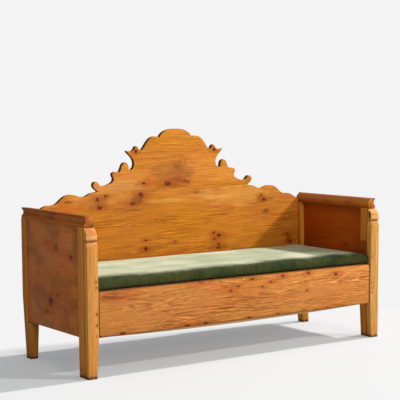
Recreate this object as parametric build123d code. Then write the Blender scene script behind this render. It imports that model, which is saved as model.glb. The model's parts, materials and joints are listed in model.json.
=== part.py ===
from build123d import *
import os

# Pull-out bench bed in pine, a settle whose front draws out on interleaved slats.
# Millimetres, +Z up, front towards -Y.  Origin: middle of the bench's box, on the floor.
# Every y below is counted from the face of the pilasters, towards the back.

# ---- whole bench ----
bench_width = 1900         # over the outer faces of the arm posts
box_bottom = 194           # underside of the side panels and the box back
seat_top = 421             # top edge of the front board
arm_top = 794              # crown of the arm rails
back_front = 649           # front face of the back boards
back_rise = 65             # arm top up to the glue line under the crest
box_back_rise = 29         # seat top up to the glue line over the box back

# ---- pull-out front ----
pilaster_width = 60
pilaster_top_width = 57     # narrower from the seat up
pilaster_thickness = 38
pilaster_foot = 48
front_board_lift = 5       # its underside above the underside of the side panels
front_board_setback = 4
front_board_thickness = 25
board_tenon_length = 30
board_tenon_thickness = 12
board_tenon_shoulder = 14
peg_diameter = 9
peg_proud = 0.8
peg_edge = 10              # peg centre to the pilaster's inner edge
peg_blind = 10             # wood left behind a peg
peg_heights = (62, 117)    # above the underside of the front board
pull_travel = 450

# ---- scroll on top of a pilaster, seen from the side ----
# heights here are counted down from the top of the pilaster
scroll_setback = 2
scroll_top_flat = 4
scroll_front = 48          # the scroll's foremost point
scroll_lip = 58            # end of the scroll's plain lip
scroll_neck = 67           # the neck under the lip
scroll_neck_depth = 11
bead_nose = 75
bead_nose_setback = 2
bead_end = 84
bead_end_setback = 5
plain_start = 88           # where the plain face starts
scroll_eye_drop = 36
scroll_eye_setback = 19
scroll_eye_width = 22
scroll_eye_height = 48
scroll_eye_depth = 8       # from the pilaster's edge at the seat

# ---- arms ----
post_thickness = 56
post_gap = 1               # pilaster to front stile
stile_depth = 54
stile_foot_depth = 51
stile_foot_width = 46
rear_post_depth = 72
rear_foot_forward = 10     # front of the rear foot, ahead of the front of its post
rear_foot_depth = 50
rear_taper_top = 330       # the back of the rear leg tapers from here down
rear_foot_width = 42
panel_thickness = 24
panel_inset = 8
panel_tongue = 10
panel_lap = 27             # panel over the rear post, in an open rebate
rail_height = 56
rail_setback = 3           # nose and plinth, inside the outer face of the posts
rail_nose_drop = 6         # crown down to the underside of the nose
rail_plinth = 14           # plain band under the cove
rail_cove_depth = 11
rail_round = 30
rail_edge = 3
rail_overlap = 8           # rail over the top of the pilaster
rail_clearance = 2         # pilaster top to rail
rail_rear_corner = 40      # the rail's rear inner corner, rounded in plan
rail_tenon_height = 22
rail_tenon_thickness = 20
rail_tenon_inset = 10      # tenon shoulders, front and back
rail_tenon_outer = 18      # post face to tenon

# ---- back ----
back_thickness = 25
back_rear_wall = 16        # wood of the rear post behind the back boards
housing = 12               # boards and rails let into the posts
shoulder_end_rise = 24     # underside of the rails up to the shoulder at the posts
batten_width = 60
batten_thickness = 18
batten_foot = 30           # box underside up to the battens
batten_end = 550           # middle of a side batten to the outer face of the posts
side_batten_top = 14       # over the glue line
centre_batten_top = 270    # over the glue line
nail_diameter = 4
nail_head_diameter = 10
nail_head_thickness = 1.2
nail_length = 34
nail_rows = 5
nail_end = 26
nail_side = 16

# ---- slats and their bearers ----
slide_gap = 0.4
bearer_lift = 3            # bearers above the underside of the side panels
bearer_height = 30
cross_rail_depth = 28
cross_rail_inset = 5       # from the back of the stiles
sill_depth = 28
moving_slats = 8           # with a fixed slat on either side of each
slat_gap = 12
slat_thickness = 20
slat_rear_gap = 3
moving_slat_rear = 20      # back boards to the ends of the moving slats
side_gap = 4               # drawer side to the posts
side_thickness = 20
side_height = 78
ledge_gap = 6              # slat ledge to cross rail
ledge_drop = 4             # ends of the slat ledge below the underside of the front board
ledge_belly = 15           # its middle below its ends
slat_batten_depth = 20
slat_batten_thickness = 20
stop_depth = 40
stop_side_gap = 5
stop_gap = 0.5

# ---- lid and mattress ----
rest_gap = 0.3
lid_thickness = 24
lid_end_gap = 3
cleat_bearing = 13         # lid on the cleats
lid_edge_gap = 2
lid_rear_gap = 3
lid_boards = 3
lid_batten_width = 60
lid_batten_thickness = 20
lid_batten_end = 350       # middle of a side batten to the outer face of the posts
lid_batten_inset = 44      # from the front and rear edges of the lid
lid_bearer = 24            # thickness of the cleats and ledges under the lid
ledge_end_gap = 110        # lid ledges to the outer faces of the posts
cushion_thickness = 65
cushion_setback = 9
cushion_rear_gap = 3
cushion_side_gap = 2
cushion_front_round = 42
cushion_round = 14

# ---- places that follow from the sizes ----
half = bench_width / 2
inner = half - post_thickness
stile_front = pilaster_thickness + post_gap
stile_back = stile_front + stile_depth
back_rear = back_front + back_thickness
carcass_depth = back_rear + back_rear_wall
post_front = carcass_depth - rear_post_depth
panel_rear = post_front + panel_lap
rail_bottom = arm_top - rail_height
rail_front = pilaster_thickness - rail_overlap
rail_corner_start = carcass_depth - rail_rear_corner
pilaster_edge = half - pilaster_width
pilaster_top = rail_bottom - rail_clearance
crest_joint = arm_top + back_rise
box_back_top = seat_top + box_back_rise
board_bottom = box_bottom + front_board_lift
board_front = front_board_setback
board_back = board_front + front_board_thickness
clear_half = min(inner, pilaster_edge)
side_outer = min(inner - side_gap, pilaster_edge)
side_inner = side_outer - side_thickness
bearer_bottom = box_bottom + bearer_lift
slat_bottom = bearer_bottom + bearer_height
moving_bottom = slat_bottom + slide_gap
cross_front = stile_back - cross_rail_inset - cross_rail_depth
batten_rear = back_front - moving_slat_rear
slat_count = 2 * moving_slats + 1
slat_pitch = (2 * side_inner - slat_gap) / slat_count
slat_width = slat_pitch - slat_gap
lid_bottom = seat_top - lid_thickness
lid_half = clear_half - lid_end_gap
bearer_top = lid_bottom - rest_gap
overall_depth = back_rear + batten_thickness + nail_head_thickness

# ---- fretted outlines of the crest, as (distance from the middle, rise over the glue line) ----
crown = [(-109, 284), (-93, 307), (-59, 326), (0, 333), (59, 326), (93, 307), (109, 284)]
upper_lobe = [(109, 284), (124, 291), (142, 292), (161, 287), (177, 276), (200, 249), (223, 219)]
leaf = [(223, 219), (235, 218), (247, 226), (253, 236), (260, 240), (268, 234), (282, 217)]
beak_top = [(282, 217), (302, 212), (323, 216)]
beak_and_hollow = [
    (323, 216), (313, 201), (297, 187), (283, 169), (276, 149), (278, 129), (290, 114),
    (311, 112),
]
thumb = [(311, 112), (315, 139), (323, 149), (334, 153), (346, 147), (356, 131), (374, 99)]
lower_scroll = [
    (374, 99), (388, 103), (404, 101), (415, 93), (415, 83), (408, 68), (412, 52), (429, 40),
    (453, 32), (478, 29), (494, 34), (505, 46), (519, 54), (532, 47), (537, 33), (527, 16),
    (507, 0),
]
crest_eye = (265, 210)
crest_eye_diameter = 9
crest_eye_depth = 6

# ---- wavy shoulder, as (distance from the foot of the crest, rise over the glue line) ----
shoulder = [
    (0, 0), (27, -5), (50, -10), (75, -22), (100, -25), (125, -19), (147, -12), (173, -10),
    (201, -16), (230, -35), (254, -54), (280, -62), (318, -64), (346, -77),
]
shoulder_length = 388      # as drawn; stretched to reach the posts


def block(x, y, z):
    """A squared board between two x, two y and two z."""
    size = [pair[1] - pair[0] for pair in (x, y, z)]
    middle = [(pair[0] + pair[1]) / 2 for pair in (x, y, z)]
    return Pos(*middle) * Box(*size)


def cut_in_front_view(edges, y):
    """A solid with the outline of the edges in X and Z, between two y."""
    face = Plane.XZ * make_face(edges)
    return Pos(0, y[1], 0) * extrude(face, y[1] - y[0])


def cut_in_side_view(edges, x):
    """A solid with the outline of the edges in Y and Z, between two x."""
    face = Plane.YZ * make_face(edges)
    return Pos(x[0], 0, 0) * extrude(face, x[1] - x[0])


def rod(x, y, z, diameter):
    """A round rod along Y."""
    middle = (y[0] + y[1]) / 2
    return Pos(x, middle, z) * Rot(90, 0, 0) * Cylinder(diameter / 2, y[1] - y[0])


def closed(*points):
    return Polyline(*points, close=True).edges()


# ---- arms, built for the right-hand end ----
def front_stile():
    """The arm's front post, its leg tapered on the inside and behind."""
    front_view = closed(
        (half, 0), (half, rail_bottom), (inner, rail_bottom), (inner, box_bottom),
        (half - stile_foot_width, 0),
    )
    side_view = closed(
        (stile_front, 0), (stile_front + stile_foot_depth, 0), (stile_back, box_bottom),
        (stile_back, rail_bottom), (stile_front, rail_bottom),
    )
    post = cut_in_front_view(front_view, (stile_front, stile_back))
    post &= cut_in_side_view(side_view, (inner, half))
    post -= side_panel()
    post -= front_cross_rail()
    return post + stile_tenon()


def rear_post():
    """The arm's rear post, its leg tapered to the foot on three sides."""
    front_view = closed(
        (half, 0), (half, rail_bottom), (inner, rail_bottom), (inner, box_bottom),
        (half - rear_foot_width, 0),
    )
    foot_front = post_front - rear_foot_forward
    side_view = closed(
        (foot_front, 0), (foot_front + rear_foot_depth, 0), (carcass_depth, rear_taper_top),
        (carcass_depth, rail_bottom), (post_front, rail_bottom), (post_front, box_bottom),
    )
    post = cut_in_front_view(front_view, (foot_front, carcass_depth))
    post &= cut_in_side_view(side_view, (inner, half))
    panel_face = half - panel_inset - panel_thickness
    post -= block((panel_face, half), (post_front, panel_rear), (box_bottom, rail_bottom))
    for piece in (box_back(), rest_board(), rear_sill()):
        post -= piece
    return post + rear_tenon()


def tenon(y_from, y_to):
    """A tenon on top of a post, into the arm rail."""
    outer = half - rail_tenon_outer
    return block(
        (outer - rail_tenon_thickness, outer),
        (y_from + rail_tenon_inset, y_to - rail_tenon_inset),
        (rail_bottom, rail_bottom + rail_tenon_height),
    )


def stile_tenon():
    return tenon(stile_front, stile_back)


def rear_tenon():
    return tenon(panel_rear, carcass_depth)


def side_panel():
    """The arm's panel: a tongue in the stile, a lap over the rear post."""
    outer = half - panel_inset
    return block(
        (outer - panel_thickness, outer),
        (stile_back - panel_tongue, panel_rear),
        (box_bottom, rail_bottom),
    )


def rail_round_edges():
    """The rail's inner round in X and Z: from the end of the flat crown to the underside."""
    crown_end = (inner + rail_round, arm_top)
    round_end = (inner, arm_top - rail_round)
    return [
        TangentArc(crown_end, round_end, tangent=(-1, 0)),
        Line(round_end, (inner, rail_bottom)),
    ]


def arm_rail():
    """Moulded rail: a cove under the outer nose, a big round on the inside."""
    outer = half - rail_setback
    plinth_top = (outer, rail_bottom + rail_plinth)
    nose = (outer, arm_top - rail_nose_drop)
    cove = (outer - rail_cove_depth, (plinth_top[1] + nose[1]) / 2)
    nose_top = (outer, arm_top - rail_edge)
    crown_outer = (outer - 2 * rail_edge, arm_top)
    outline = [
        ThreePointArc(plinth_top, cove, nose),
        *Polyline(nose, nose_top, crown_outer, (inner + rail_round, arm_top)).edges(),
        *rail_round_edges(),
        *Polyline((inner, rail_bottom), (outer, rail_bottom), plinth_top).edges(),
    ]
    rail = cut_in_front_view(outline, (rail_front, carcass_depth))
    corner = (inner, inner + rail_rear_corner)
    rail -= block(corner, (rail_corner_start, carcass_depth), (rail_bottom, arm_top))
    rail += rail_corner()
    return rail - stile_tenon() - rear_tenon()


def rail_corner():
    """The inner round carried a quarter turn about the rail's rear inner corner."""
    turn = inner + rail_rear_corner
    outline = rail_round_edges()
    outline += Polyline(
        (inner, rail_bottom), (turn, rail_bottom), (turn, arm_top), (inner + rail_round, arm_top)
    ).edges()
    section = Pos(0, rail_corner_start, 0) * (Plane.XZ * make_face(outline))
    return revolve(section, Axis((turn, rail_corner_start, 0), (0, 0, -1)), 90)


# ---- back ----
def box_back():
    """The board behind the bedding box, housed in the rear posts."""
    reach = inner + housing
    return block((-reach, reach), (back_front, back_rear), (box_bottom, box_back_top))


def rest_board():
    """The board behind the sitter, with a curved shoulder at each end."""
    crest_foot = lower_scroll[-1][0]
    stretch = (inner - crest_foot) / shoulder_length
    rim = [(crest_foot + reach * stretch, crest_joint + rise) for reach, rise in shoulder]
    end = (inner, rail_bottom + shoulder_end_rise)
    top = Spline(*rim, end)
    outline = [
        top,
        mirror(top, about=Plane.YZ),
        Line((-crest_foot, crest_joint), (crest_foot, crest_joint)),
        *Polyline(end, (inner, box_back_top), (-inner, box_back_top), (-inner, end[1])).edges(),
    ]
    board = cut_in_front_view(outline, (back_front, back_rear))
    reach = inner + housing
    return board + block((-reach, reach), (back_front, back_rear), (box_back_top, rail_bottom))


def crest_board():
    """The fretted crest, glued on the rest board."""
    strokes = (upper_lobe, leaf, beak_top, beak_and_hollow, thumb, lower_scroll)
    outline = [over_joint(crown)]
    for stroke in strokes:
        outline.append(over_joint(stroke))
        outline.append(mirror(outline[-1], about=Plane.YZ))
    foot = lower_scroll[-1][0]
    outline.append(Line((-foot, crest_joint), (foot, crest_joint)))
    board = cut_in_front_view(outline, (back_front, back_rear))
    across, rise = crest_eye
    for x in (-across, across):
        y = (back_front, back_front + crest_eye_depth)
        board -= rod(x, y, crest_joint + rise, crest_eye_diameter)
    return board


def over_joint(points):
    return Spline(*[(x, crest_joint + rise) for x, rise in points])


def batten_tops():
    """Middle x and top of each rear batten."""
    spread = half - batten_end
    side_top = crest_joint + side_batten_top
    return {
        "left": (-spread, side_top),
        "centre": (0, crest_joint + centre_batten_top),
        "right": (spread, side_top),
    }


def nail_places():
    """x and z of each nail through the rear battens."""
    places = []
    for middle, top in batten_tops().values():
        low = box_bottom + batten_foot + nail_end
        step = (top - nail_end - low) / (nail_rows - 1)
        for row in range(nail_rows):
            side = nail_side if row % 2 else -nail_side
            places.append((middle + side, low + row * step))
    return places


def nails():
    """Clout nails from behind: flat head on the batten, shank into the boards."""
    head_face = back_rear + batten_thickness
    pieces = []
    for x, z in nail_places():
        shank = rod(x, (head_face - nail_length, head_face), z, nail_diameter)
        head = rod(x, (head_face, head_face + nail_head_thickness), z, nail_head_diameter)
        pieces.append(shank + head)
    return pieces


def rear_batten(middle, top):
    x = (middle - batten_width / 2, middle + batten_width / 2)
    return block(x, (back_rear, back_rear + batten_thickness), (box_bottom + batten_foot, top))


# ---- bearers of the slats and of the lid ----
def front_cross_rail():
    """Joins the two arms in front and carries the slats."""
    reach = inner + housing
    y = (cross_front, cross_front + cross_rail_depth)
    return block((-reach, reach), y, (bearer_bottom, slat_bottom))


def rear_sill():
    """Joins the two arms behind and carries the rear ends of the slats."""
    reach = inner + housing
    return block((-reach, reach), (back_front - sill_depth, back_front), (bearer_bottom, slat_bottom))


def lid_cleat():
    """On the side panel, between the posts, under one end of the lid."""
    x = (lid_half - cleat_bearing, half - panel_inset - panel_thickness)
    return block(x, (stile_back, post_front), (bearer_top - lid_bearer, bearer_top))


def lid_ledge(y):
    reach = half - ledge_end_gap
    return block((-reach, reach), y, (bearer_top - lid_bearer, bearer_top))


def stop_block():
    """On the last fixed slat; the batten of the moving slats comes up against it."""
    back = batten_rear - slat_batten_depth - pull_travel - stop_gap
    outer = side_inner - slat_gap
    x = (outer - slat_width + stop_side_gap, outer - stop_side_gap)
    low = slat_bottom + slat_thickness
    return block(x, (back - stop_depth, back), (low, low + slat_batten_thickness))


# ---- slats ----
def slat(index, y, bottom):
    """The slat at one place of the row, counted from the left."""
    left = -side_inner + slat_gap + index * slat_pitch
    return block((left, left + slat_width), y, (bottom, bottom + slat_thickness))


def fixed_slat(index):
    return slat(index, (cross_front, back_front - slat_rear_gap), slat_bottom)


def moving_slat(index):
    return slat(index, (board_back, batten_rear), moving_bottom)


# ---- pull-out front ----
def board_tenon():
    """The tenon at the right-hand end of the front board."""
    y = board_front + (front_board_thickness - board_tenon_thickness) / 2
    return block(
        (pilaster_edge, pilaster_edge + board_tenon_length),
        (y, y + board_tenon_thickness),
        (board_bottom + board_tenon_shoulder, seat_top - board_tenon_shoulder),
    )


def peg_row(side):
    """The pegs that lock the tenon at one end of the front board."""
    x = side * (pilaster_edge + peg_edge)
    y = (-peg_proud, pilaster_thickness - peg_blind)
    return [rod(x, y, board_bottom + height, peg_diameter) for height in peg_heights]


def front_board():
    reach = pilaster_edge
    board = block((-reach, reach), (board_front, board_back), (board_bottom, seat_top))
    board += board_tenon() + mirror(board_tenon(), about=Plane.YZ)
    for peg in peg_row(-1) + peg_row(1):
        board -= peg
    return board


def pilaster_side_view():
    """Scroll, neck and bead over the plain face, in Y and Z."""
    top_back = (pilaster_thickness, pilaster_top)
    crown_end = (pilaster_thickness - scroll_top_flat, pilaster_top)
    foremost = (scroll_setback, pilaster_top - scroll_front)
    lip = (scroll_setback, pilaster_top - scroll_lip)
    neck = (scroll_neck_depth, pilaster_top - scroll_neck)
    bead = (bead_nose_setback, pilaster_top - bead_nose)
    under_bead = (bead_end_setback, pilaster_top - bead_end)
    plain_top = (0, pilaster_top - plain_start)
    return [
        TangentArc(foremost, crown_end, tangent=(0, 1)),
        ThreePointArc(neck, bead, under_bead),
        *Polyline(crown_end, top_back, (pilaster_thickness, 0), (0, 0), plain_top, under_bead).edges(),
        *Polyline(foremost, lip, neck).edges(),
    ]


def pilaster():
    """The right-hand pilaster leg, scrolled at the top and tapered at the foot."""
    front_view = closed(
        (half, 0), (half, pilaster_top), (half - pilaster_top_width, pilaster_top),
        (pilaster_edge, seat_top), (pilaster_edge, board_bottom), (half - pilaster_foot, 0),
    )
    leg = cut_in_side_view(pilaster_side_view(), (pilaster_edge, half))
    leg &= cut_in_front_view(front_view, (0, pilaster_thickness))
    leg -= board_tenon()
    leg -= scroll_eye()
    for peg in peg_row(1):
        leg -= peg
    return leg


def scroll_eye():
    """The shallow oval gouged into the inner side of the scroll."""
    oval = Ellipse(scroll_eye_width / 2, scroll_eye_height / 2)
    middle = (pilaster_edge, scroll_eye_setback, pilaster_top - scroll_eye_drop)
    return Pos(*middle) * extrude(Plane.YZ * oval, scroll_eye_depth)


def drawer_side():
    """Runs from the front board to the rear batten, over the cross rail."""
    z = (moving_bottom, moving_bottom + side_height)
    return block((side_inner, side_outer), (board_back, batten_rear), z)


def slat_ledge():
    """Behind the front board, under the front ends of the moving slats; deepest in the middle."""
    low = board_bottom - ledge_drop
    ends = [(-side_inner, low), (side_inner, low)]
    outline = [
        ThreePointArc(ends[0], (0, low - ledge_belly), ends[1]),
        *Polyline(ends[1], (side_inner, moving_bottom), (-side_inner, moving_bottom), ends[0]).edges(),
    ]
    return cut_in_front_view(outline, (board_back, cross_front - ledge_gap))


def slat_batten():
    """Ties the rear ends of the moving slats together, above the fixed ones."""
    low = moving_bottom + slat_thickness
    return block(
        (-side_inner, side_inner),
        (batten_rear - slat_batten_depth, batten_rear),
        (low, low + slat_batten_thickness),
    )


# ---- lid and mattress ----
def lid_board(index):
    front = board_back + lid_edge_gap
    width = (back_front - lid_rear_gap - front) / lid_boards
    y = (front + index * width, front + (index + 1) * width)
    return block((-lid_half, lid_half), y, (lid_bottom, seat_top))


def lid_batten(middle):
    x = (middle - lid_batten_width / 2, middle + lid_batten_width / 2)
    front = board_back + lid_edge_gap + lid_batten_inset
    rear = back_front - lid_rear_gap - lid_batten_inset
    return block(x, (front, rear), (lid_bottom - lid_batten_thickness, lid_bottom))


def mattress():
    """A plain block with a well rounded front edge."""
    reach = clear_half - cushion_side_gap
    depth = (cushion_setback, back_front - cushion_rear_gap)
    low = seat_top + rest_gap
    pad = block((-reach, reach), depth, (low, low + cushion_thickness))
    front_edge = pad.edges().filter_by(Axis.X).group_by(Axis.Y)[0].sort_by(Axis.Z)[-1]
    pad = fillet(front_edge, cushion_front_round)
    top = pad.faces().sort_by(Axis.Z)[-1]
    return fillet(top.edges().sort_by(Axis.Y)[1:], cushion_round)


def pair(name, piece):
    """The same piece for the right-hand end and, mirrored, for the left."""
    return {"left_" + name: mirror(piece, about=Plane.YZ), "right_" + name: piece}


def all_nodes():
    nodes = {}
    nodes |= pair("front_stile", front_stile())
    nodes |= pair("rear_post", rear_post())
    nodes |= pair("side_panel", side_panel())
    nodes |= pair("arm_rail", arm_rail())
    shanks = nails()
    nodes["back_box_board"] = box_back()
    nodes["back_rest_board"] = rest_board()
    nodes["back_crest_board"] = crest_board()
    for name, (middle, top) in batten_tops().items():
        nodes[name + "_back_batten"] = rear_batten(middle, top)
    for name in nodes:
        if name.startswith("back_") or name.endswith("_back_batten"):
            for shank in shanks:
                nodes[name] -= shank
    nodes["back_batten_nails"] = Compound(children=shanks)
    nodes["rear_sill"] = rear_sill()
    nodes["front_cross_rail"] = front_cross_rail()
    nodes |= pair("lid_cleat", lid_cleat())
    nodes["rear_lid_ledge"] = lid_ledge((back_front - lid_bearer, back_front))
    nodes |= pair("stop_block", stop_block())
    for index in range(slat_count):
        if index % 2:
            nodes[f"moving_slat_{index // 2 + 1}"] = moving_slat(index)
        else:
            nodes[f"fixed_slat_{index // 2 + 1}"] = fixed_slat(index)
    nodes["front_board"] = front_board()
    nodes |= pair("pilaster_leg", pilaster())
    nodes |= pair("drawer_side", drawer_side())
    nodes["pilaster_pegs"] = Compound(children=peg_row(-1) + peg_row(1))
    nodes["front_slat_ledge"] = slat_ledge()
    nodes["moving_slat_batten"] = slat_batten()
    nodes["front_lid_ledge"] = lid_ledge((board_back, board_back + lid_bearer))
    for index, place in enumerate(("front", "middle", "rear")):
        nodes[f"{place}_lid_board"] = lid_board(index)
    lid_spread = half - lid_batten_end
    for place, middle in (("left", -lid_spread), ("centre", 0), ("right", lid_spread)):
        nodes[f"{place}_lid_batten"] = lid_batten(middle)
    nodes["mattress"] = mattress()
    return nodes


os.makedirs("parts", exist_ok=True)
to_frame = Pos(0, (peg_proud - overall_depth) / 2, 0)
for node, solid in all_nodes().items():
    export_step(to_frame * solid, f"parts/{node}.step")
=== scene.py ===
import json
import math
import random

import bmesh
import bpy
from mathutils import Matrix, Vector


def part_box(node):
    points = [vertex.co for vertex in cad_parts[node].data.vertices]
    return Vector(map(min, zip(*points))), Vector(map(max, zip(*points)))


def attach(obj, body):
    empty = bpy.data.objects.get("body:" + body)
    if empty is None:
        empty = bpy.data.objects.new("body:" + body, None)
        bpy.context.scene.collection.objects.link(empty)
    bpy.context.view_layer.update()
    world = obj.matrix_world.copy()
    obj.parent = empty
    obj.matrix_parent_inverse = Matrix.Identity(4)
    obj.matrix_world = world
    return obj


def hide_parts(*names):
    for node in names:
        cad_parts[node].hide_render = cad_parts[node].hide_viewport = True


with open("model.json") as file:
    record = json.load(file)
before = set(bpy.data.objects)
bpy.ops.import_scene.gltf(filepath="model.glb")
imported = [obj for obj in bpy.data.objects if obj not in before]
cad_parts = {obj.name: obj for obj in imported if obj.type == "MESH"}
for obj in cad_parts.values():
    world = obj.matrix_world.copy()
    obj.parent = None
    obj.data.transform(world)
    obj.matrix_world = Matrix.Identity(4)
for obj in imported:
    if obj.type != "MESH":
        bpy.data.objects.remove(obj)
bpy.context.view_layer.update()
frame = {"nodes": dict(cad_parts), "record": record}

# Pull-out bench bed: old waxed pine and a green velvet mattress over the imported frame.
# Metres, +Z up, front towards -Y.  Every piece lies where its solid lies.

nodes = frame["nodes"]
bodies = frame["record"]["behaviour"]["bodies"]
body_of = {node: body for body, members in bodies.items() for node in members}
slot_of = {part["node"]: part["material_slot"] for part in frame["record"]["subparts"]}


# ---- shader maths ----
class Wire:
    """The output of a shader node; arithmetic on it adds Math nodes."""

    def __init__(self, finish, socket):
        self.finish = finish
        self.socket = socket

    def maths(self, operation, *terms):
        return self.finish.maths(operation, *terms)

    def __add__(self, other):
        return self.maths("ADD", self, other)

    def __sub__(self, other):
        return self.maths("SUBTRACT", self, other)

    def __rsub__(self, other):
        return self.maths("SUBTRACT", other, self)

    def __mul__(self, other):
        return self.maths("MULTIPLY", self, other)

    def __truediv__(self, other):
        return self.maths("DIVIDE", self, other)

    def __pow__(self, other):
        return self.maths("POWER", self, other)

    def __abs__(self):
        return self.maths("ABSOLUTE", self)

    def fraction(self):
        return self.maths("FRACT", self)

    def at_most(self, other):
        return self.maths("MINIMUM", self, other)

    def at_least(self, other):
        return self.maths("MAXIMUM", self, other)

    __radd__ = __add__
    __rmul__ = __mul__


class Finish:
    """A material, or the world around the bench, built up node by node."""

    # The places of a Mix node's sockets for colours.
    mix_factor, mix_first, mix_second, mix_result = 0, 6, 7, 2

    def __init__(self, owner):
        owner.use_nodes = True
        self.owner = owner
        self.tree = owner.node_tree
        self.tree.nodes.clear()

    def node(self, kind, settings=None, values=(), out=0):
        """Adds a node: its settings first, then the values or wires of its inputs."""
        node = self.tree.nodes.new(kind)
        for name, setting in (settings or {}).items():
            setattr(node, name, setting)
        inputs = values.items() if isinstance(values, dict) else enumerate(values)
        for place, value in inputs:
            if isinstance(value, Wire):
                self.tree.links.new(value.socket, node.inputs[place])
            else:
                node.inputs[place].default_value = value
        return Wire(self, node.outputs[out])

    def place(self):
        """Where the point lies on the object, in metres."""
        return self.node("ShaderNodeTexCoord", out="Object")

    def attribute(self, name, out="Fac"):
        return self.node("ShaderNodeAttribute", {"attribute_name": name}, out=out)

    def parts(self, vector):
        first = self.node("ShaderNodeSeparateXYZ", values=[vector])
        return [Wire(self, socket) for socket in first.socket.node.outputs]

    def maths(self, operation, *terms):
        return self.node("ShaderNodeMath", {"operation": operation}, terms)

    def length(self, vector):
        return self.node("ShaderNodeVectorMath", {"operation": "LENGTH"}, [vector], out="Value")

    def flat_place(self, axes):
        """Two of the object's axes, in metres, as a flat picture plane."""
        parts = dict(zip("xyz", self.parts(self.place())))
        return self.join(parts[axes[0]], parts[axes[1]], 0.0)

    def join(self, x, y, z):
        return self.node("ShaderNodeCombineXYZ", values=[x, y, z])

    def scaled(self, vector, factors, shift=(0, 0, 0)):
        settings = {"operation": "MULTIPLY_ADD"}
        return self.node("ShaderNodeVectorMath", settings, [vector, factors, shift])

    def around(self, plane, u, v, long, high):
        """The picture plane as seen from one spot, in the spot's half length and half height."""
        return self.scaled(plane, (1 / long, 1 / high, 0), (-u / long, -v / high, 0))

    def noise(self, vector, scale=1.0, detail=2.0, roughness=0.5):
        values = {"Vector": vector, "Scale": scale, "Detail": detail, "Roughness": roughness}
        return self.node("ShaderNodeTexNoise", values=values)

    def step(self, value, low, high, to_low=0.0, to_high=1.0):
        """A smooth step between two values of the input."""
        settings = {"interpolation_type": "SMOOTHSTEP"}
        return self.node("ShaderNodeMapRange", settings, [value, low, high, to_low, to_high])

    def mix(self, factor, first, second, blend="MIX"):
        settings = {"data_type": "RGBA", "blend_type": blend}
        values = {self.mix_factor: factor, self.mix_first: tone(first), self.mix_second: tone(second)}
        return self.node("ShaderNodeMix", settings, values, out=self.mix_result)

    def bump(self, height, strength, distance):
        values = {"Height": height, "Strength": strength, "Distance": distance}
        return self.node("ShaderNodeBump", values=values)

    def done(self, **sockets):
        """Ends in a Principled shader with these sockets."""
        values = {name.replace("_", " "): tone(value) for name, value in sockets.items()}
        return self.end(self.node("ShaderNodeBsdfPrincipled", values=values))

    def end(self, shader, kind="ShaderNodeOutputMaterial"):
        output = self.tree.nodes.new(kind)
        self.tree.links.new(shader.socket, output.inputs["Surface"])
        return self.owner


def tone(value):
    """Three numbers become an opaque colour; anything else stays as it is."""
    return (*value, 1.0) if isinstance(value, tuple) and len(value) == 3 else value


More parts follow.
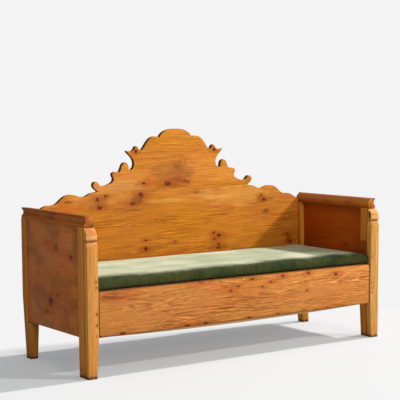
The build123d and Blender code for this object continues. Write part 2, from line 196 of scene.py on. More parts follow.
# ---- finishes ----
def pine(name, early, late, knots=(), across="xz", figure=0.5, lively=1.0, flecked=0.35, golden=0.45,
         wild=0.08, marks=None):
    """Old waxed pine.  The attribute 'grain' runs along, across and through each board.

    early and late are the tones of the two halves of a year ring.  figure is the strength of
    the rings, lively and flecked of the fibre, golden how yellow the pale parts are, and wild
    how far the rings wander.  marks paints what only this finish has.
    """
    wood = Finish(bpy.data.materials.new(name))
    grain = wood.attribute("grain", out="Vector")
    plane = wood.flat_place(across)
    cores, rims, halos = knot_fields(wood, plane, knots)
    drift = wood.noise(wood.scaled(grain, (1.3, 4.5, 4.5)), detail=2.0) - 0.5
    waver = wood.noise(wood.scaled(grain, (9.0, 40.0, 40.0)), detail=3.0) - 0.5
    along, side, depth = wood.parts(grain)
    radius = (side * side + depth * depth) ** 0.5
    radius = radius + drift * wild + waver * 0.006 + halos * 0.028
    uneven = wood.noise(wood.join(radius * 22.0, along * 0.3, 0.0), detail=2.0)
    phase = (radius / ring_pitch + uneven * 3.0).fraction()
    band = wood.step(phase, 0.15, 0.92) * wood.step(phase, 1.0, 0.93)
    clear = wood.step(wood.noise(wood.scaled(grain, (2.2, 13.0, 13.0), (3.0, 9.0, 1.0))), 0.34, 0.64)
    fibre = wood.noise(wood.scaled(grain, (6.0, 420.0, 420.0)), detail=2.0)
    fleck = wood.noise(wood.scaled(grain, (26.0, 165.0, 165.0)), detail=3.0, roughness=0.6)
    streak = wood.noise(wood.scaled(grain, (7.0, 95.0, 95.0)), detail=4.0, roughness=0.65)
    patch = wood.noise(wood.scaled(grain, (1.6, 5.0, 5.0), (4.0, 1.0, 7.0)), detail=3.0)
    blush = wood.noise(wood.scaled(grain, (3.0, 12.0, 12.0), (8.0, 2.0, 5.0)), detail=3.0)
    yellow = tinted(early, (0.97, 0.98, golden))
    ruddy = tinted(early, (0.93, 0.68, 0.6))
    colour = wood.mix(wood.step(patch, 0.38, 0.64), early, yellow)
    colour = wood.mix(wood.step(blush, 0.48, 0.72) * 0.7, colour, ruddy)
    colour = wood.mix(band * (0.25 + clear * 0.75) * figure, colour, late)
    lines = (fibre - 0.5) * 0.28 + (streak - 0.5) * 0.8 + (fleck - 0.5) * flecked
    colour = wood.mix(1.0, colour, 1.0 + lines * (0.45 + clear * 0.9) * lively, "MULTIPLY")
    if marks:
        colour = marks(wood, colour)
    colour = wood.mix(halos.at_most(1.0) * 0.6, colour, tinted(late, (1.0, 0.76, 0.45)))
    colour = wood.mix(cores.at_most(1.0) * 0.9, colour, knot_heart)
    colour = wood.mix(rims.at_most(1.0) * 0.75, colour, knot_rim)
    # End grain darker; on the back's two boards this also takes the fretwork's cut edges, as painted
    # shade with dirt.
    colour = wood.mix(wood.attribute("end_grain") * 0.85, colour, end_dirt_and_shade)
    worn = wood.attribute("arris") * wood.step(wood.noise(wood.place(), 16.0, 3.0), 0.4, 0.62)
    colour = wood.mix(worn * 0.4, colour, tinted(early, (1.2, 1.3, 1.4)))
    height_above_floor = wood.parts(wood.place())[2]
    grime = wood.step(height_above_floor + (streak - 0.5) * 0.03, 0.022, 0.003)
    colour = wood.mix(grime * 0.8, colour, foot_dirt)
    relief = wood.bump(band * 0.5 + fibre * 0.5, 0.3, 0.0005)
    roughness = 0.55 + (fibre - 0.5) * 0.25 + band * 0.06
    return wood.done(Base_Color=colour, Roughness=roughness, Normal=relief, Specular_IOR_Level=0.12)


def knot_fields(wood, plane, knots):
    """Red-brown hearts, dark rims, and the halos where the grain swings round the knots."""
    nothing = wood.node("ShaderNodeValue") * 0.0
    cores, rims, halos = nothing, nothing, nothing
    if not knots:
        return cores, rims, halos
    wobble = wood.noise(wood.place(), 80.0, 3.0) - 0.5
    for u, v, long, high, strength in knots:
        from_knot = wood.around(plane, u, v, long, high)
        distance = wood.length(from_knot) + wobble * 1.6
        wide = wood.length(wood.scaled(from_knot, (0.5, 1.0, 1.0)))
        cores = cores + wood.step(distance, 1.25, 0.55) * strength
        rims = rims + wood.step(distance, 0.95, 0.5) * wood.step(distance, -0.1, 0.4) * strength
        halos = halos + wood.step(wide + wobble, 3.0, 0.6) * strength
    return cores, rims, halos


def tinted(colour, factors):
    return tuple(min(1.0, part * factor) for part, factor in zip(colour, factors))


def heart_wood(wood, colour):
    """Pale streaks of clear wood under the joint of the back's two boards."""
    plane = wood.flat_place("xz")
    cloud = wood.noise(wood.scaled(plane, (12.0, 30.0, 1.0)), detail=3.0)
    for streak in heart_streaks:
        pale = wood.step(wood.length(wood.around(plane, *streak)) + (cloud - 0.5) * 2.2, 1.2, 0.3)
        colour = wood.mix(pale * 0.35, colour, (0.80, 0.40, 0.08))
    return colour


def feather_crotch(wood, colour):
    """A dark cloud with a fan of fine rays, where the tree forked, and pale wood to its lower left."""
    plane = wood.flat_place("xz")
    cloud = wood.noise(wood.scaled(plane, (9.0, 26.0, 1.0)), detail=4.0)
    shade = wood.step(wood.length(wood.around(plane, *crotch)) + (cloud - 0.5) * 2.0, 1.15, 0.25)
    colour = wood.mix(shade * 0.5, colour, (0.33, 0.100, 0.016))
    across, up, _ = wood.parts(plane)
    pale = wood.step(across, -0.16, -0.30) * wood.step(up, 0.98, 0.86)
    colour = wood.mix(pale * 0.35, colour, (0.85, 0.43, 0.16))
    fan_u, fan_v, fan_reach = fan
    from_heart = wood.join(across - fan_u, up - fan_v, 0.0)
    turn = wood.maths("ARCTAN2", up - fan_v, across - fan_u)
    rays = wood.noise(wood.join(turn * 16.0, wood.length(from_heart) * 6.0, 0.0), detail=2.0)
    spread = wood.step(wood.length(from_heart) + (cloud - 0.5) * 0.06, fan_reach, 0.03)
    return wood.mix(spread * wood.step(rays, 0.38, 0.62) * 0.75, colour, (0.17, 0.045, 0.008))


def stile_darkening(wood, colour):
    """The right stile's inner side, darker between the seat and a level line."""
    x, _, z = wood.parts(wood.place())
    # Darker from the seat up to a level line.
    below_line = wood.step(z, darkening_top + 0.004, darkening_top - 0.004)
    above_seat = wood.step(z, seat_level - 0.004, seat_level)
    inside = wood.step(x, stile_inner + 0.006, stile_inner + 0.003)
    return wood.mix(below_line * above_seat * inside * 0.8, colour, (0.22, 0.050, 0.004))


def board_joint_shade(wood, colour):
    """Painted shade in the joints where the front board meets its two legs and the ledge below it."""
    x, _, z = wood.parts(wood.place())
    # Painted shade at both ends of the board and along its foot.
    joint = wood.step(abs(x), pilaster_inner - 0.011, pilaster_inner - 0.006)
    foot = wood.step(z, board_foot + 0.008, board_foot + 0.003) * 0.6
    return wood.mix((joint + foot).at_most(0.85), colour, (0.13, 0.035, 0.008))


def mottled(wood, colour):
    """Old polish, darker in soft clouds."""
    clouds = wood.noise(wood.scaled(wood.place(), (7.0, 7.0, 10.0), (2.0, 5.0, 1.0)), detail=4.0)
    return wood.mix(wood.step(clouds, 0.46, 0.66) * 0.5, colour, (0.23, 0.070, 0.028))


def pilaster_pine(side, tones):
    return pine(
        side + "_pilaster_pine", *tones, pilaster_knots,
        figure=0.4, lively=1.6, golden=0.8, marks=scroll_highlight_and_shade,
    )


def rail_highlight_and_shade(wood, colour):
    """Painted highlight on the arm rail's crown on the inside, and painted shade below the crown and in
    two dark lines along the outside.
    """
    x, _, z = wood.parts(wood.place())
    drop = rail_head - z
    inside = wood.step(abs(x), rail_inner + 0.034, rail_inner + 0.022)
    # Painted highlight on the crown's inner side, painted shade under it.
    crown = wood.step(drop, 0.004, 0.010) * wood.step(drop, 0.030, 0.018)
    under = wood.step(drop, 0.030, 0.056)
    colour = wood.mix(crown * inside * 0.45, colour, (0.62, 0.25, 0.08))
    # Painted shade: a dark line under the outer top edge and another under the rail.
    outside = wood.step(abs(x), rail_outer - 0.020, rail_outer - 0.012)
    lines = wood.step(drop, 0.017, 0.010) + wood.step(drop, 0.050, 0.058)
    colour = wood.mix(lines.at_most(1.0) * outside * 0.4, colour, (0.09, 0.030, 0.010))
    return wood.mix(under * inside * 0.65, colour, (0.10, 0.026, 0.005))


def scroll_highlight_and_shade(wood, colour):
    """Painted highlights on the pilaster's nose and bead, and painted shade in its neck, its eye and
    its rear corner.
    """
    x, y, z = wood.parts(wood.place())
    drop = pilaster_head - z
    # Painted highlights on the nose and the bead.
    nose = wood.step(drop, 0.034, 0.042) * wood.step(drop, 0.060, 0.050)
    bead = wood.step(drop, 0.071, 0.075) * wood.step(drop, 0.086, 0.082)
    front = wood.step(y - pilaster_face, 0.012, 0.006)
    colour = wood.mix((nose + bead) * front * 0.5, colour, (0.86, 0.50, 0.22))
    # Painted shade in the neck.
    neck = wood.step(drop, 0.056, 0.061) * wood.step(drop, 0.074, 0.070)
    colour = wood.mix(neck * 0.6, colour, (0.30, 0.10, 0.030))
    # Painted shade along the rear corner, next to the stile.
    back = wood.step(y - pilaster_back, -0.006, -0.003)
    colour = wood.mix(back * 0.75, colour, (0.05, 0.018, 0.006))
    # Painted shade in the hollow eye on the inner side.
    from_eye = wood.join((y - eye_place[0]) / eye_size[0], (z - eye_place[1]) / eye_size[1], 0.0)
    inner = wood.step(abs(x), pilaster_inner + 0.012, pilaster_inner + 0.009)
    eye = inner * wood.step(wood.length(from_eye), 1.02, 0.92)
    return wood.mix(eye * 0.9, colour, (0.035, 0.012, 0.004))


def velvet(front):
    """Velvet with painted light: pale, like lit sheen, where the surface faces up, and dark, like
    shade, where it turns down over the front edge.
    """
    cloth = Finish(bpy.data.materials.new("green_velvet"))
    place = cloth.place()
    upward = cloth.parts(cloth.node("ShaderNodeNewGeometry", out="Normal"))[2]
    from_edge = cloth.parts(place)[1] - front
    nap = cloth.noise(cloth.scaled(place, (3.5, 6.0, 3.0)), detail=3.0)
    brushed = cloth.noise(cloth.scaled(place, (60.0, 24.0, 16.0)), detail=4.0, roughness=0.65)
    tufts = cloth.noise(cloth.scaled(place, (15.0, 17.0, 24.0), (5.0, 0.0, 2.0)), detail=3.0)
    lengthwise = cloth.noise(cloth.scaled(place, (2.5, 38.0, 10.0)), detail=3.0)
    pile = cloth.noise(place, 1400.0, 1.0)
    # Painted light and sheen: the pale tone only on faces that point up, behind the front edge; painted
    # shade: dark elsewhere.
    level = cloth.step(upward + (brushed - 0.5) * 0.3, 0.72, 0.97)
    ragged = (brushed - 0.5) * 0.012 + (nap - 0.5) * 0.08 + (tufts - 0.5) * 0.06
    spread = cloth.step(from_edge + ragged, 0.030, 0.140)
    dark = cloth.mix(cloth.step(nap, 0.28, 0.62), (0.018, 0.032, 0.010), (0.043, 0.048, 0.014))
    dark = cloth.mix(1.0, dark, (brushed * 1.4 + tufts - 0.15).at_least(0.2), "MULTIPLY")
    pale = cloth.mix(cloth.step(nap, 0.3, 0.7), (0.40, 0.455, 0.30), (0.64, 0.65, 0.465))
    pale = cloth.mix(1.0, pale, 0.86 + lengthwise * 0.28, "MULTIPLY")
    colour = cloth.mix(level * spread, dark, pale)
    colour = cloth.mix(1.0, colour, 0.9 + pile * 0.2, "MULTIPLY")
    relief = cloth.bump(brushed * 0.4 + pile, 0.2, 0.0005)
    return cloth.done(
        Base_Color=colour, Roughness=0.95, Normal=relief, Specular_IOR_Level=0.05,
        Sheen_Weight=0.12, Sheen_Roughness=0.4, Sheen_Tint=(0.6, 0.72, 0.5),
    )


def plain_metal(name, colour):
    iron = Finish(bpy.data.materials.new(name))
    pits = iron.noise(iron.place(), 260.0, 3.0)
    shade = iron.mix(pits, colour, tinted(colour, (0.5, 0.5, 0.5)))
    relief = iron.bump(pits, 0.4, 0.0004)
    return iron.done(Base_Color=shade, Roughness=0.45 + pits * 0.4, Metallic=1.0, Normal=relief)


# ---- pieces ----
def softened(node, material, run, pith=None, end_from=0.75):
    """The node's solid with its arrises rubbed round, and its grain laid along one axis."""
    form = bmesh.new()
    form.from_mesh(nodes[node].data)
    arris = form.faces.layers.float.new("arris")
    bmesh.ops.remove_doubles(form, verts=form.verts, dist=same_point)
    bmesh.ops.dissolve_limit(form, angle_limit=flat_below, verts=form.verts, edges=form.edges)
    sharp = [edge for edge in form.edges if edge.calc_face_angle(0) > arris_above]
    rounded = bmesh.ops.bevel(
        form, geom=sharp, offset=arris_wear, offset_type="OFFSET", segments=2, profile=0.5,
        affect="EDGES", clamp_overlap=True,
    )
    for face in rounded["faces"]:
        face[arris] = 1.0
    bmesh.ops.triangulate(form, faces=[face for face in form.faces if len(face.verts) > 4])
    piece = new_piece(node + "_worn", form, material, smooth_below)
    lay_grain(piece.data, node, "xyz".index(run), pith, end_from)
    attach(piece, body_of[node])
    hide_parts(node)


def new_piece(name, form, material, sharp_from):
    """An object at the origin from a bmesh, smooth but for the edges over an angle."""
    mesh = bpy.data.meshes.new(name)
    form.to_mesh(mesh)
    form.free()
    mesh.shade_smooth()
    mesh.set_sharp_from_angle(angle=sharp_from)
    mesh.materials.append(material)
    piece = bpy.data.objects.new(name, mesh)
    bpy.context.scene.collection.objects.link(piece)
    return piece


def lay_grain(mesh, node, axis, pith, end_from):
    """Board coordinates along, across and through the wood, with the pith off to one side."""
    low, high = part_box(node)
    size = high - low
    others = sorted((i for i in range(3) if i != axis), key=lambda i: -size[i])
    chance = random.Random(node)
    if pith is None:
        pith = (chance.uniform(-0.3, 0.3) * size[others[0]], chance.uniform(0.03, 0.08))
    start = chance.uniform(0, 40)
    tilt = chance.uniform(-0.02, 0.02)
    centre = (low + high) / 2
    grain = mesh.attributes.new("grain", "FLOAT_VECTOR", "POINT")
    for vertex, value in zip(mesh.vertices, grain.data):
        away = vertex.co - centre
        value.vector = (
            away[axis] + start,
            away[others[0]] - pith[0] + tilt * away[axis],
            away[others[1]] + pith[1],
        )
    ends = mesh.attributes.new("end_grain", "FLOAT", "FACE")
    for face, value in zip(mesh.polygons, ends.data):
        value.value = min(1.0, max(0.0, (abs(face.normal[axis]) - end_from) / end_blend))


def pad_shell(low, high, pitch):
    """A closed block of near-square cells."""
    size = high - low
    counts = [max(3, round(side / pitch)) for side in size]
    form = bmesh.new()
    corners = {}

    def corner(*place):
        if place not in corners:
            corners[place] = form.verts.new([low[i] + size[i] * place[i] / counts[i] for i in range(3)])
        return corners[place]

    for axis in range(3):
        u, v = (i for i in range(3) if i != axis)
        for level in (0, counts[axis]):
            for i in range(counts[u]):
                for j in range(counts[v]):
                    ring = []
                    for di, dj in ((0, 0), (1, 0), (1, 1), (0, 1)):
                        place = [0, 0, 0]
                        place[axis], place[u], place[v] = level, i + di, j + dj
                        ring.append(corner(*place))
                    form.faces.new(ring)
    bmesh.ops.recalc_face_normals(form, faces=form.faces)
    return form


def blown_up(piece):
    """The places of the points after the cover has been filled, by cloth simulation."""
    fill = piece.modifiers.new("fill", "CLOTH")
    fill.settings.use_pressure = True
    fill.settings.uniform_pressure_force = pad_pressure
    fill.settings.effector_weights.gravity = 0
    fill.settings.quality = 6
    fill.settings.tension_stiffness = 12
    fill.settings.compression_stiffness = 12
    fill.settings.bending_stiffness = 0.4
    fill.point_cache.frame_end = pad_frames
    for frame_number in range(1, pad_frames + 1):
        bpy.context.scene.frame_set(frame_number)
    solved = piece.evaluated_get(bpy.context.evaluated_depsgraph_get()).data
    places = [vertex.co.copy() for vertex in solved.vertices]
    piece.modifiers.remove(fill)
    bpy.context.scene.frame_set(1)
    return places


def mattress_pad(material):
    """The velvet mattress: a filled cover, flat below, crowned above and round in front."""
    low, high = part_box("mattress")
    margin = Vector((pad_slack, pad_slack, pad_crown / 2))
    form = pad_shell(low + margin, high - margin, pad_pitch)
    piece = new_piece("velvet_mattress", form, material, math.pi)
    points = piece.data.vertices
    for point in points:
        point.co = rounded_place(point.co, low + margin, high - margin)
    places = [point.co.copy() for point in points]
    for point, start, target in zip(points, places, blown_up(piece)):
        step = target - start
        point.co = start + step.normalized() * min(step.length, pad_cap)
    fill_space(points, low, high)
    smooth = piece.modifiers.new("smooth", "SUBSURF")
    smooth.levels = 1
    smooth.render_levels = 1
    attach(piece, "mattress")
    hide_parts("mattress")


def fill_space(points, low, high):
    """Stretches the pad to its space between the arms, and presses its underside flat."""
    for axis in range(3):
        reach = [point.co[axis] for point in points]
        least, most = min(reach), max(reach)
        stretch = (high[axis] - low[axis] - 2 * pad_gap) / (most - least)
        for point in points:
            point.co[axis] = low[axis] + pad_gap + (point.co[axis] - least) * stretch
    top = high.z - pad_gap
    shoulder = top - (high.z - low.z) / 2
    for point in points:
        if point.co.z < low.z + pad_press:
            point.co.z = low.z + pad_gap
        elif point.co.z > shoulder:
            fall = (top - point.co.z) / (top - shoulder)
            point.co.z = top - (top - shoulder) * fall * (pad_firmness + (1 - pad_firmness) * fall)


def rounded_place(place, low, high):
    """A point of the block moved onto the same block with round edges."""
    place = place.copy()
    rounds = (
        (1, 1, pad_front_round), (1, -1, pad_rear_round),
        (0, 1, pad_end_round), (0, -1, pad_end_round),
    )
    for axis, inward, radius in rounds:
        side = low[axis] if inward > 0 else high[axis]
        for top in (True, False):
            bend = radius if top else pad_foot_round
            depth = (place[axis] - side) * inward
            drop = high.z - place.z if top else place.z - low.z
            if depth < bend and drop < bend:
                away = Vector((bend - depth, bend - drop))
                away *= (bend - min(depth, drop)) / away.length
                place[axis] = side + inward * (bend - away.x)
                place.z = high.z - bend + away.y if top else low.z + bend - away.y
    return place


def nail_heads(name, body, first, step, across, count):
    """Two rows of forged nail heads over the ends of a run of slats."""
    tree = bpy.data.node_groups.new(name, "GeometryNodeTree")
    tree.interface.new_socket(name="Geometry", in_out="OUTPUT", socket_type="NodeSocketGeometry")
    sizes = {
        "Count": ("NodeSocketInt", count),
        "First": ("NodeSocketVector", first),
        "Step": ("NodeSocketVector", step),
        "Across": ("NodeSocketVector", across),
        "Head": ("NodeSocketFloat", nail_head_radius),
    }
    sockets = {
        key: tree.interface.new_socket(name=key, in_out="INPUT", socket_type=kind)
        for key, (kind, _) in sizes.items()
    }
    given = tree.nodes.new("NodeGroupInput").outputs

    def add(kind, **values):
        node = tree.nodes.new(kind)
        for key, value in values.items():
            socket = node.inputs[key.replace("_", " ")]
            if isinstance(value, bpy.types.NodeSocket):
                tree.links.new(value, socket)
            else:
                socket.default_value = value
        return node

    row = add(
        "GeometryNodeMeshLine",
        Count=given["Count"], Start_Location=given["First"], Offset=given["Step"],
    )
    far_row = add("GeometryNodeTransform", Geometry=row.outputs[0], Translation=given["Across"])
    rows = add("GeometryNodeJoinGeometry")
    for part in (row, far_row):
        tree.links.new(part.outputs[0], rows.inputs[0])
    ball = add("GeometryNodeMeshUVSphere", Segments=10, Rings=6, Radius=given["Head"])
    head = add("GeometryNodeTransform", Geometry=ball.outputs[0], Scale=(1.0, 1.0, nail_head_rise))
    heads = add("GeometryNodeInstanceOnPoints", Points=rows.outputs[0], Instance=head.outputs[0])
    solid = add("GeometryNodeRealizeInstances", Geometry=heads.outputs[0])
    dressed = add("GeometryNodeSetMaterial", Geometry=solid.outputs[0], Material=finishes["nail_iron"])
    tree.links.new(dressed.outputs[0], tree.nodes.new("NodeGroupOutput").inputs[0])
    piece = bpy.data.objects.new(name, bpy.data.meshes.new(name + "_seed"))
    bpy.context.scene.collection.objects.link(piece)
    maker = piece.modifiers.new("rows", "NODES")
    maker.node_group = tree
    for key, (_, value) in sizes.items():
        maker[sockets[key].identifier] = value
    solved = piece.evaluated_get(bpy.context.evaluated_depsgraph_get())
    mesh = bpy.data.meshes.new_from_object(solved)
    piece.modifiers.clear()
    piece.data = mesh
    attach(piece, body)


def slat_nails():
    """Nails through each slat into what carries its two ends."""
    runs = (
        ("fixed", 9, "rear_sill", "front_cross_rail"),
        ("moving", 8, "moving_slat_batten", "front_slat_ledge"),
    )
    for kind, count, rear, front in runs:
        first, second = (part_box(f"{kind}_slat_{i}") for i in (1, 2))
        middle = (first[0] + first[1]) / 2
        pitch = (second[0] + second[1]) / 2 - middle
        near, far = (sum((corner.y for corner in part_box(node)), 0.0) / 2 for node in (front, rear))
        start = Vector((middle.x, near, first[1].z))
        along, across = Vector((pitch.x, 0, 0)), Vector((0, far - near, 0))
        nail_heads(f"{kind}_slat_nails", body_of[f"{kind}_slat_1"], start, along, across, count)


# ---- stage ----
def camera():
    """Stands to the left of the bench, a little above it."""
    lens = bpy.data.cameras.new("camera")
    lens.sensor_width = 36
    lens.lens = focal_length / frame_width * lens.sensor_width
    lens.shift_y = camera_shift
    eye = bpy.data.objects.new("camera", lens)
    turn = Matrix.Rotation(math.radians(camera_turn), 4, "Z")
    turn @= Matrix.Rotation(math.radians(90 - camera_dip), 4, "X")
    turn @= Matrix.Rotation(math.radians(camera_roll), 4, "Z")
    eye.matrix_world = Matrix.Translation(camera_place) @ turn
    bpy.context.scene.collection.objects.link(eye)
    bpy.context.scene.camera = eye


def lamp(name, towards, distance, size, level):
    """A round soft light; level 1 lights a white surface that faces it to white."""
    light = bpy.data.lights.new(name, "AREA")
    light.shape = "DISK"
    light.size = size
    light.energy = level * math.pi ** 2 * distance ** 2
    holder = bpy.data.objects.new(name, light)
    direction = Vector(towards).normalized()
    holder.location = Vector(lamp_aim) + direction * distance
    holder.rotation_euler = direction.to_track_quat("Z", "Y").to_euler()
    bpy.context.scene.collection.objects.link(holder)


def stage():
    """A pale floor that runs into a plain backdrop, a soft sky and three lamps."""
    bpy.context.scene.world = soft_sky()
    mesh = bpy.data.meshes.new("floor")
    signs = ((-1, -1), (1, -1), (1, 1), (-1, 1))
    corners = [(x * floor_reach, y * floor_reach, 0) for x, y in signs]
    mesh.from_pydata(corners, [], [(0, 1, 2, 3)])
    mesh.materials.append(paper_floor())
    floor = bpy.data.objects.new("floor", mesh)
    bpy.context.scene.collection.objects.link(floor)
    for name, (towards, distance, size, level) in lamps.items():
        lamp(name, towards, distance, size, level)


def soft_sky():
    """An even sky, with the plain backdrop in its place for the eye."""
    sky = Finish(bpy.data.worlds.new("studio"))
    seen = sky.node("ShaderNodeLightPath", out="Is Camera Ray")
    seen_through = sky.node("ShaderNodeLightPath", out="Is Transmission Ray")
    glow = sky.mix(seen.at_least(seen_through), sky_tone, backdrop)
    return sky.end(sky.node("ShaderNodeBackground", values={"Color": glow}), "ShaderNodeOutputWorld")


def paper_floor():
    """Pale paper, duller to bounced light than to the eye, and lost in the backdrop far off."""
    paper = Finish(bpy.data.materials.new("studio_floor"))
    x, y, _ = paper.parts(paper.place())
    far = paper.step((x * x + y * y) ** 0.5, *haze_reach)
    behind = paper.step(y + x * haze_slant, *haze_behind)
    seen = paper.node("ShaderNodeLightPath", out="Is Camera Ray")
    surface = paper.mix(seen, floor_bounce, floor_tone)
    cover = paper.node("ShaderNodeBsdfDiffuse", values={"Color": surface})
    glow = {"Color": tone(floor_lift_tone), "Strength": seen * floor_lift}
    lift = paper.node("ShaderNodeEmission", values=glow)
    cover = paper.node("ShaderNodeAddShader", values=[cover, lift])
    haze = paper.node("ShaderNodeEmission", values={"Color": tone(backdrop), "Strength": 1.0})
    lost = far.at_least(behind) * seen
    return paper.end(paper.node("ShaderNodeMixShader", values=[lost, cover, haze]))


# ---- the bench ----
# Camera: where it stands, its turn, dip and roll in degrees, its shift, and its focal length
# and the width of its frame, both in pixels.
camera_place = (-3.7281, -5.2432, 1.2837)
camera_turn = -35.0572
camera_dip = 6.641
camera_roll = -0.2482
focal_length = 1184.2945
camera_shift = 0.125
frame_width = 400

# Light: direction, distance, width and level of each lamp, and the point they aim at.
lamps = {
    "key": ((1.0, -0.95, 0.8), 40.0, 2.4, 0.48),
    "side": ((1.0, -0.05, 0.9), 40.0, 0.9, 0.87),
    "front": ((-0.12, -1.0, 0.35), 30.0, 12.0, 0.33),
}
lamp_aim = (0, 0, 0.45)
sky_tone = (0.30, 0.30, 0.29)
backdrop = (0.90, 0.90, 0.90)

# Floor: its tones, its half width, and where it is lost in the backdrop.
floor_tone = (0.556, 0.548, 0.540)
floor_lift_tone = (0.90, 0.98, 1.05)
floor_lift = 0.235
floor_bounce = (0.48, 0.48, 0.48)
floor_reach = 40
haze_reach = (1.9, 3.2)
haze_behind = (0.37, 0.55)
haze_slant = 0.11

# Wooden pieces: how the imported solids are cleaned, how far their arrises are worn, how softly
# end grain sets in, and the value of end_from that leaves a board without any.
same_point = 1e-5
flat_below = math.radians(0.6)
arris_above = math.radians(24)
smooth_below = math.radians(28)
arris_wear = 0.0012
end_blend = 0.2
no_end_grain = 2.0

# Mattress: cells, swelling, gaps and rounded edges of the pad.
pad_pitch = 0.012
pad_slack = 0.004
pad_crown = 0.014
pad_cap = 0.012
pad_gap = 0.0005
pad_press = 0.003
pad_firmness = 0.25
pad_pressure = 4.0
pad_frames = 20
pad_front_round = 0.034
pad_end_round = 0.018
pad_rear_round = 0.008
pad_foot_round = 0.010

# Nails: the head's radius, and its height as a share of that.
nail_head_radius = 0.0035
nail_head_rise = 0.45

# Edges of the bench that the painted highlights and painted shade, and the darker part of the right
# stile, follow.
rail_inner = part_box("right_arm_rail")[0].x
rail_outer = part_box("right_arm_rail")[1].x
rail_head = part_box("right_arm_rail")[1].z
pilaster_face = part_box("left_pilaster_leg")[0].y
pilaster_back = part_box("left_pilaster_leg")[1].y
pilaster_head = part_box("left_pilaster_leg")[1].z
pilaster_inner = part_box("right_pilaster_leg")[0].x
board_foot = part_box("front_board")[0].z
seat_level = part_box("front_board")[1].z
stile_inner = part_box("right_front_stile")[0].x
darkening_top = 0.553
eye_place = (pilaster_face + 0.019, pilaster_head - 0.036)
eye_size = (0.011, 0.024)

# Figure of the wood: the width of a year ring, then spots on the back as across, up, half
# length and half height, and the fan's heart and reach.
ring_pitch = 0.011
crotch = (-0.050, 0.955, 0.185, 0.072)
fan = (0.035, 0.945, 0.115)
heart_streaks = (
    (-0.500, 0.822, 0.300, 0.045), (0.270, 0.797, 0.150, 0.014),
    (-0.040, 0.792, 0.170, 0.012), (0.450, 0.800, 0.300, 0.075),
)

# Knots: across (or along, on a side panel), up, half length, half height and strength.
board_knots = (
    (-0.206, 0.576, 0.009, 0.007, 0.9), (-0.206, 0.527, 0.014, 0.012, 1.0),
    (-0.009, 0.558, 0.008, 0.006, 0.5), (0.261, 0.590, 0.009, 0.008, 0.9),
    (0.298, 0.573, 0.016, 0.012, 1.0), (0.267, 0.554, 0.009, 0.008, 0.9),
    (0.296, 0.520, 0.016, 0.013, 0.5), (0.296, 0.500, 0.020, 0.008, 0.9),
    (0.608, 0.795, 0.009, 0.008, 0.6), (0.629, 0.766, 0.015, 0.011, 0.9),
    (0.612, 0.775, 0.040, 0.024, 0.20), (0.646, 0.695, 0.026, 0.016, 0.45),
    (0.810, 0.547, 0.009, 0.008, 0.9), (0.834, 0.503, 0.011, 0.009, 1.0),
    (0.822, 0.520, 0.026, 0.030, 0.35), (-0.515, 0.817, 0.014, 0.012, 0.8),
    (-0.460, 0.833, 0.017, 0.010, 0.7), (-0.499, 0.772, 0.020, 0.012, 0.8),
    (-0.482, 0.800, 0.042, 0.034, 0.20), (-0.234, 0.830, 0.018, 0.015, 0.8),
    (-0.292, 0.784, 0.018, 0.013, 0.8), (-0.258, 0.806, 0.042, 0.032, 0.35),
    (-0.690, 0.810, 0.030, 0.006, 0.5), (0.137, 0.830, 0.010, 0.006, 0.7),
    (-0.136, 0.685, 0.008, 0.006, 0.3),
)
crest_knots = (
    (-0.215, 0.893, 0.014, 0.010, 0.8), (-0.057, 0.887, 0.026, 0.015, 0.8),
    (0.075, 0.893, 0.036, 0.012, 0.4), (0.000, 0.905, 0.085, 0.014, 0.15),
    (-0.265, 1.069, 0.009, 0.009, 1.4), (0.265, 1.069, 0.009, 0.009, 1.4),
)
front_knots = (
    (-0.095, 0.359, 0.013, 0.011, 0.55), (0.633, 0.386, 0.013, 0.012, 0.9),
    (0.430, 0.410, 0.011, 0.009, 0.9), (0.253, 0.408, 0.011, 0.009, 0.8),
    (0.171, 0.382, 0.010, 0.006, 0.9), (0.115, 0.363, 0.010, 0.006, 0.8),
    (0.045, 0.409, 0.014, 0.007, 0.9), (-0.045, 0.378, 0.008, 0.006, 0.7),
    (0.423, 0.315, 0.010, 0.009, 0.55), (-0.287, 0.418, 0.018, 0.006, 0.4),
    (-0.753, 0.207, 0.020, 0.008, 0.8), (-0.372, 0.204, 0.018, 0.008, 0.8),
    (-0.258, 0.204, 0.020, 0.009, 0.9), (-0.085, 0.200, 0.010, 0.005, 0.5),
    (0.025, 0.204, 0.016, 0.007, 0.8), (0.221, 0.206, 0.013, 0.008, 0.5),
    (0.273, 0.200, 0.010, 0.005, 0.4), (0.403, 0.208, 0.008, 0.006, 0.5),
    (0.480, 0.200, 0.009, 0.005, 0.4), (0.569, 0.208, 0.008, 0.006, 0.4),
    (-0.850, 0.398, 0.026, 0.008, 0.3), (-0.790, 0.384, 0.050, 0.005, 0.3),
    (-0.690, 0.372, 0.050, 0.004, 0.25), (-0.880, 0.203, 0.014, 0.007, 0.7),
)
pilaster_knots = (
    (-0.901, 0.476, 0.004, 0.006, 0.6), (-0.899, 0.445, 0.004, 0.006, 0.6),
    (-0.900, 0.318, 0.004, 0.007, 0.6), (-0.899, 0.263, 0.004, 0.006, 0.6),
    (-0.903, 0.212, 0.004, 0.006, 0.4), (0.905, 0.464, 0.004, 0.006, 0.4),
    (0.903, 0.284, 0.004, 0.006, 0.4),
)
left_panel_knots = (
    (-0.021, 0.615, 0.024, 0.020, 0.5), (-0.169, 0.580, 0.020, 0.018, 0.6),
    (0.047, 0.335, 0.026, 0.028, 0.8), (-0.033, 0.377, 0.018, 0.012, 0.4),
    (0.089, 0.278, 0.014, 0.010, 0.5), (-0.190, 0.350, 0.060, 0.030, 0.2),
    (0.080, 0.640, 0.016, 0.012, 0.3),
)
right_panel_knots = ((-0.102, 0.515, 0.010, 0.008, 0.8),)

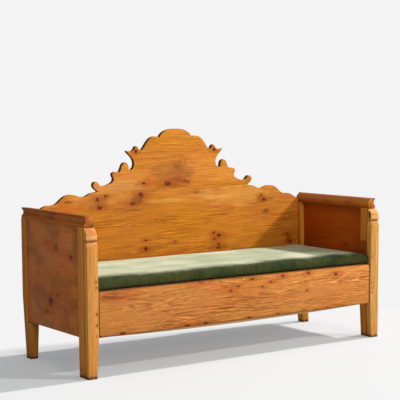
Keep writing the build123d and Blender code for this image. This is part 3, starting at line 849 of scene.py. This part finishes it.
# The early and late tones of each finish.
crest_tone = ((0.65, 0.235, 0.028), (0.385, 0.100, 0.006))
board_tone = ((0.555, 0.190, 0.018), (0.31, 0.074, 0.004))
front_tone = ((0.615, 0.235, 0.053), (0.35, 0.088, 0.012))
left_pilaster_tone = ((0.65, 0.275, 0.066), (0.43, 0.140, 0.026))
right_pilaster_tone = ((0.69, 0.335, 0.080), (0.46, 0.172, 0.032))
post_tone = ((0.65, 0.258, 0.034), (0.39, 0.120, 0.012))
left_panel_tone = ((0.58, 0.182, 0.044), (0.34, 0.088, 0.018))
right_panel_tone = ((0.45, 0.092, 0.004), (0.25, 0.044, 0.002))
rail_tone = ((0.49, 0.135, 0.022), (0.27, 0.063, 0.009))
# A darker post tone: painted shade for the left rear post.
shaded_post_tone = ((0.47, 0.175, 0.034), (0.29, 0.088, 0.014))
bare_tone = ((0.63, 0.36, 0.16), (0.44, 0.21, 0.075))
peg_tone = ((0.27, 0.085, 0.014), (0.16, 0.045, 0.007))
knot_heart = (0.185, 0.026, 0.001)
knot_rim = (0.060, 0.009, 0.0)
end_dirt_and_shade = (0.055, 0.018, 0.005)
foot_dirt = (0.03, 0.012, 0.005)

finishes = {
    "back_pine": pine(
        "back_pine", *board_tone, board_knots,
        figure=0.6, lively=1.7, golden=0.4, wild=0.13, marks=heart_wood,
    ),
    "front_pine": pine(
        "front_pine", *front_tone, front_knots,
        figure=0.75, lively=2.1, flecked=0.65, golden=0.8, wild=0.15, marks=board_joint_shade,
    ),
    "post_pine": pine("post_pine", *post_tone),
    "rail_pine": pine("rail_pine", *rail_tone, figure=0.8, lively=1.3, marks=rail_highlight_and_shade),
    "inside_pine": pine("inside_pine", *bare_tone, golden=0.8),
    "peg_wood": pine("peg_wood", *peg_tone),
    "nail_iron": plain_metal("nail_iron", (0.09, 0.08, 0.075)),
    "green_velvet": velvet(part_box("mattress")[0].y),
}
# The boards that are not laid, cut or coloured as their finish's other pieces are.
special = {
    "left_side_panel": {
        "material": pine(
            "left_panel_pine", *left_panel_tone, left_panel_knots,
            across="yz", figure=0.25, lively=0.7, marks=mottled,
        ),
        "run": "y",
    },
    "right_side_panel": {
        "material": pine(
            "right_panel_pine", *right_panel_tone, right_panel_knots,
            across="yz", figure=0.75, wild=0.2,
        ),
        "run": "y",
    },
    "left_pilaster_leg": {
        "material": pilaster_pine("left", left_pilaster_tone),
        "end_from": no_end_grain,
    },
    "right_pilaster_leg": {
        "material": pilaster_pine("right", right_pilaster_tone),
        "end_from": no_end_grain,
    },
    # Painted shade: the left rear post gets a darker copy of the post pine, as its side lies in shade.
    "left_rear_post": {"material": pine("shaded_post_pine", *shaded_post_tone)},
    "right_front_stile": {"material": pine("darkened_stile_pine", *post_tone, marks=stile_darkening)},
    # end_from 0.3 darkens the cut edges of these two boards too: painted shade with dirt.
    "back_rest_board": {"pith": (0.12, 0.03), "end_from": 0.3},
    "back_crest_board": {
        "material": pine(
            "crest_pine", *crest_tone, crest_knots,
            figure=0.45, lively=1.2, wild=0.12, marks=feather_crotch,
        ),
        "pith": (-0.05, 0.05),
        "end_from": 0.3,
    },
    "front_board": {"pith": (0.03, 0.035)},
    "left_arm_rail": {"end_from": no_end_grain},
    "right_arm_rail": {"end_from": no_end_grain},
}

bpy.context.scene.view_settings.view_transform = "Standard"
camera()
stage()
for node in nodes:
    slot = slot_of[node]
    if slot in ("peg_wood", "nail_iron"):
        nodes[node].data.materials.clear()
        nodes[node].data.materials.append(finishes[slot])
    elif node != "mattress":
        low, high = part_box(node)
        size = high - low
        longest = "xyz"[max(range(3), key=lambda i: size[i])]
        usual = {"material": finishes.get(slot), "run": longest}
        softened(node, **(usual | special.get(node, {})))
mattress_pad(finishes["green_velvet"])
slat_nails()
